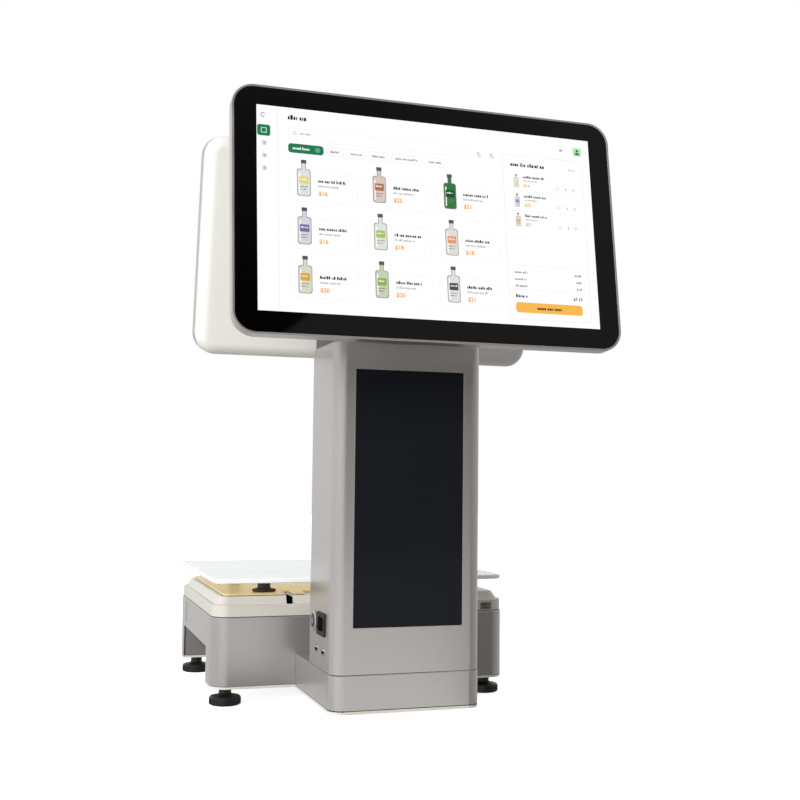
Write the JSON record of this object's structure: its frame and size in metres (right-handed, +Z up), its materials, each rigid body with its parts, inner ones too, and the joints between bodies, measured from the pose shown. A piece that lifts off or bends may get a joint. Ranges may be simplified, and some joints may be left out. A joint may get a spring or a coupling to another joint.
{
  "type": "self checkout kiosk",
  "caption": "Self checkout kiosk: two back-to-back tilting displays on a printer column with a pedestal foot, joined to a weighing scale with a glass pan and levelling feet.",
  "frame": {"origin": "under the middle of the whole kiosk, on the floor", "axes": "+Z up; -Y the side the customer display faces; +Y towards the weighing pan; +X to the right seen from the customer side"},
  "size_m": [0.3908, 0.518, 0.618],
  "materials": {
    "case_casting": "silver paint on die-cast aluminium",
    "column_profile": "silver paint on an aluminium profile",
    "case_plastic": "satin silver-painted moulding",
    "case_metal": "satin silver-grey powder coat",
    "plate_paint": "pale satin paint",
    "steel": "plain zinc-plated sheet",
    "gold_zinc": "yellow zinc plating",
    "cast_aluminium": "machined",
    "display_glass": "black printed cover glass",
    "pan_glass": "tempered, white back coat",
    "frame_metal": "champagne anodised",
    "lcd_metal": "panel module: light guide, films and cells in a thin metal can",
    "cover_plastic": "satin off-white moulding",
    "slate_plastic": "satin dark slate",
    "foot_black": "moulded black with steel stud",
    "rubber": "moulded",
    "paper": "label paper",
    "black_plastic": "moulded",
    "board_green": "solder resist",
    "chrome": "polished ring",
    "button_metal": "dark anodised cap"
  },
  "bodies": {
    "stand": {"scale_housing": "case_casting", "scale_cover": "case_plastic", "pedestal_cover": "case_metal", "column_shell": "column_profile", "bottom_plate_front": "plate_paint", "bottom_plate_rear": "plate_paint", "pedestal_plate": "plate_paint", "scale_chassis": "steel", "printer_frame": "steel", "hinge_base": "steel", "front_hinge_pin": "steel", "rear_hinge_pin": "steel", "door_pin": "steel", "foot_nut_front_left": "steel", "foot_nut_front_right": "steel", "foot_nut_rear_left": "steel", "foot_nut_rear_right": "steel", "usb_socket_front": "steel", "usb_socket_rear": "steel", "pan_support": "gold_zinc", "load_cell": "cast_aluminium", "support_post": "cast_aluminium", "print_head": "cast_aluminium", "power_supply": "cast_aluminium", "column_glass": "display_glass", "neck_cover": "slate_plastic", "pan_pad_front_left": "rubber", "pan_pad_front_right": "rubber", "pan_pad_rear_left": "rubber", "pan_pad_rear_right": "rubber", "roll_spindle": "black_plastic", "power_inlet": "black_plastic", "main_board": "board_green", "button_ring": "chrome"},
    "front_display": {"front_display_frame": "frame_metal", "front_display_glass": "display_glass", "front_display_lcd": "lcd_metal", "front_display_back_cover": "cover_plastic", "front_display_arm": "steel"},
    "rear_display": {"rear_display_frame": "frame_metal", "rear_display_glass": "display_glass", "rear_display_lcd": "lcd_metal", "rear_display_back_cover": "cover_plastic", "rear_display_arm": "steel"},
    "pan": {"glass_pan": "pan_glass"},
    "door": {"service_door": "column_profile"},
    "latch": {"door_latch": "slate_plastic"},
    "button": {"power_button": "button_metal"},
    "roll": {"paper_roll": "paper"},
    "platen": {"platen_roller": "rubber"},
    "foot_fl": {"foot_front_left": "foot_black"},
    "foot_fr": {"foot_front_right": "foot_black"},
    "foot_rl": {"foot_rear_left": "foot_black"},
    "foot_rr": {"foot_rear_right": "foot_black"},
    "foot_c": {"foot_centre": "rubber"}
  },
  "joints": [
    {"name": "front_display_tilt", "type": "hinge", "parent": "stand", "child": "front_display", "pos_m": [0, -0.16237, 0.448], "axis": [1, 0, 0], "range_deg": [-12, 8]},
    {"name": "rear_display_tilt", "type": "hinge", "parent": "stand", "child": "rear_display", "pos_m": [0, -0.10287, 0.448], "axis": [1, 0, 0], "range_deg": [-12, 8]},
    {"name": "pan_lift", "type": "slide", "parent": "stand", "child": "pan", "axis": [0, 0, 1], "range_m": [0, 0.018]},
    {"name": "service_door_swing", "type": "hinge", "parent": "stand", "child": "door", "pos_m": [-0.07, -0.08307, 0.242], "axis": [0, 0, 1], "range_deg": [0, 100]},
    {"name": "door_latch_press", "type": "slide", "parent": "door", "child": "latch", "axis": [0, -1, 0], "range_m": [0, 0.0015], "stiffness_N_per_m": 400, "springref_m": -0.0005},
    {"name": "power_button_press", "type": "slide", "parent": "stand", "child": "button", "axis": [1, 0, 0], "range_m": [0, 0.0015], "stiffness_N_per_m": 400, "springref_m": -0.0005},
    {"name": "paper_roll_spin", "type": "hinge", "parent": "stand", "child": "roll", "pos_m": [0, -0.12937, 0.208], "axis": [1, 0, 0], "continuous": true},
    {"name": "platen_spin", "type": "hinge", "parent": "stand", "child": "platen", "pos_m": [0, -0.10337, 0.288], "axis": [1, 0, 0], "continuous": true},
    {"name": "foot_fl_screw", "type": "slide", "parent": "stand", "child": "foot_fl", "axis": [0, 0, -1], "range_m": [0, 0.008]},
    {"name": "foot_fr_screw", "type": "slide", "parent": "stand", "child": "foot_fr", "axis": [0, 0, -1], "range_m": [0, 0.008]},
    {"name": "foot_rl_screw", "type": "slide", "parent": "stand", "child": "foot_rl", "axis": [0, 0, -1], "range_m": [0, 0.008]},
    {"name": "foot_rr_screw", "type": "slide", "parent": "stand", "child": "foot_rr", "axis": [0, 0, -1], "range_m": [0, 0.008]},
    {"name": "foot_c_screw", "type": "slide", "parent": "stand", "child": "foot_c", "axis": [0, 0, -1], "range_m": [0, 0.008]}
  ],
  "couplings": [
    {"joint": "platen_spin", "follows": "paper_roll_spin", "ratio": -4.7143}
  ]
}
